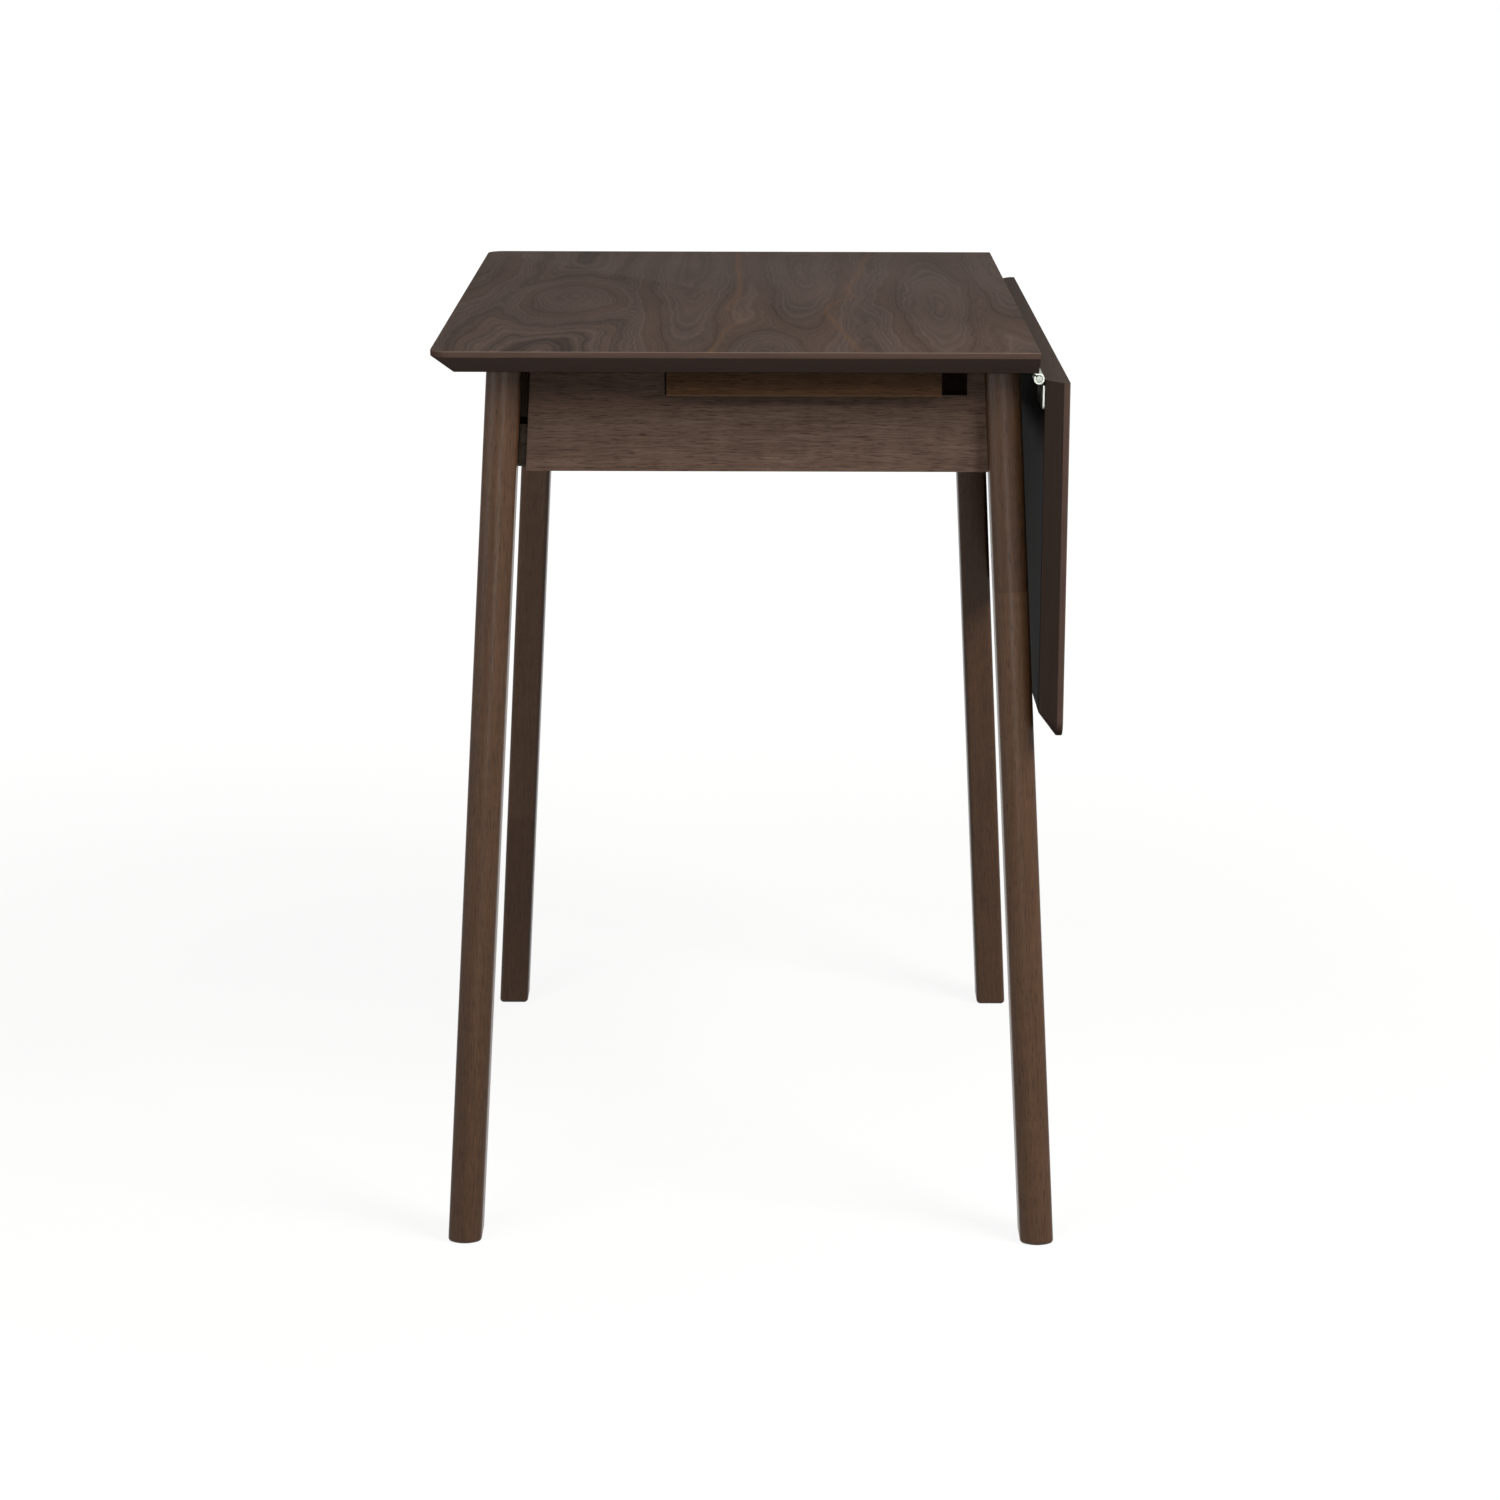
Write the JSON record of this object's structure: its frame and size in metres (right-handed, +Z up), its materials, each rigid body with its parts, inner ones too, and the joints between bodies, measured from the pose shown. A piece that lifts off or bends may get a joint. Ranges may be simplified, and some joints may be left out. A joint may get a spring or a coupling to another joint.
{
  "type": "drop-leaf dining table",
  "caption": "Small wooden dining table on splayed legs, with one hinged leaf that lifts level with the top and swing bars let into the aprons",
  "frame": {"origin": "on the floor, under the middle of the table's whole box with the leaf hanging", "axes": "+Z up, +X towards the hanging leaf, +Y from the near end to the far end"},
  "size_m": [0.5099, 0.705, 0.75],
  "materials": {
    "walnut_veneer": "dark stained walnut veneer, satin lacquer",
    "stained_rubberwood": "walnut-stained rubberwood, satin lacquer",
    "apron_rubberwood": "walnut-stained rubberwood, satin lacquer",
    "block_rubberwood": "thinly stained rubberwood, matte",
    "bar_rubberwood": "lighter stained rubberwood, satin lacquer",
    "hinge_steel": "bright zinc-plated rolled steel",
    "zinc_steel": "zinc-plated steel fasteners",
    "insert_brass": "turned brass",
    "beech_dowel": "plain fluted beech",
    "black_steel": "black-plated steel, matte"
  },
  "bodies": {
    "frame": {"table_top": "walnut_veneer", "leg_near_left": "stained_rubberwood", "leg_near_right": "stained_rubberwood", "leg_far_left": "stained_rubberwood", "leg_far_right": "stained_rubberwood", "apron_near": "apron_rubberwood", "apron_far": "apron_rubberwood", "apron_left": "apron_rubberwood", "apron_right": "apron_rubberwood", "cross_rail_near": "apron_rubberwood", "cross_rail_far": "apron_rubberwood", "block_near_left": "block_rubberwood", "block_near_right": "block_rubberwood", "block_far_left": "block_rubberwood", "block_far_right": "block_rubberwood", "bar_pivot_screws": "zinc_steel", "bar_washers": "zinc_steel", "hinge_near_plate": "hinge_steel", "hinge_mid_plate": "hinge_steel", "hinge_far_plate": "hinge_steel", "hinge_pins": "hinge_steel", "hinge_plate_screws": "zinc_steel", "leg_dowels": "beech_dowel", "rail_dowels": "beech_dowel", "frame_bolts": "zinc_steel", "frame_bolt_washers": "zinc_steel", "frame_inserts": "insert_brass", "block_screws": "zinc_steel", "top_brackets": "black_steel", "bracket_screws": "black_steel"},
    "leaf": {"drop_leaf": "walnut_veneer", "hinge_near_flap": "hinge_steel", "hinge_mid_flap": "hinge_steel", "hinge_far_flap": "hinge_steel", "hinge_flap_screws": "zinc_steel"},
    "near_bar": {"bar_near": "bar_rubberwood"},
    "far_bar": {"bar_far": "bar_rubberwood"},
    "near_leaf_bar": {"leaf_bar_near": "bar_rubberwood"},
    "far_leaf_bar": {"leaf_bar_far": "bar_rubberwood"}
  },
  "joints": [
    {"name": "leaf_fold", "type": "hinge", "parent": "frame", "child": "leaf", "pos_m": [0.22935, 0, 0.7263], "axis": [0, -1, 0], "range_deg": [0, 90]},
    {"name": "near_bar_swing", "type": "hinge", "parent": "frame", "child": "near_bar", "pos_m": [0.04245, -0.298, 0.7195], "axis": [0, 0, -1], "range_deg": [0, 90]},
    {"name": "far_bar_swing", "type": "hinge", "parent": "frame", "child": "far_bar", "pos_m": [0.04245, 0.298, 0.7195], "axis": [0, 0, 1], "range_deg": [0, 90]},
    {"name": "near_leaf_bar_swing", "type": "hinge", "parent": "frame", "child": "near_leaf_bar", "pos_m": [0.2039, -0.16031, 0.7195], "axis": [0, 0, -1], "range_deg": [0, 10]},
    {"name": "far_leaf_bar_swing", "type": "hinge", "parent": "frame", "child": "far_leaf_bar", "pos_m": [0.2039, 0.16031, 0.7195], "axis": [0, 0, 1], "range_deg": [0, 10]}
  ]
}
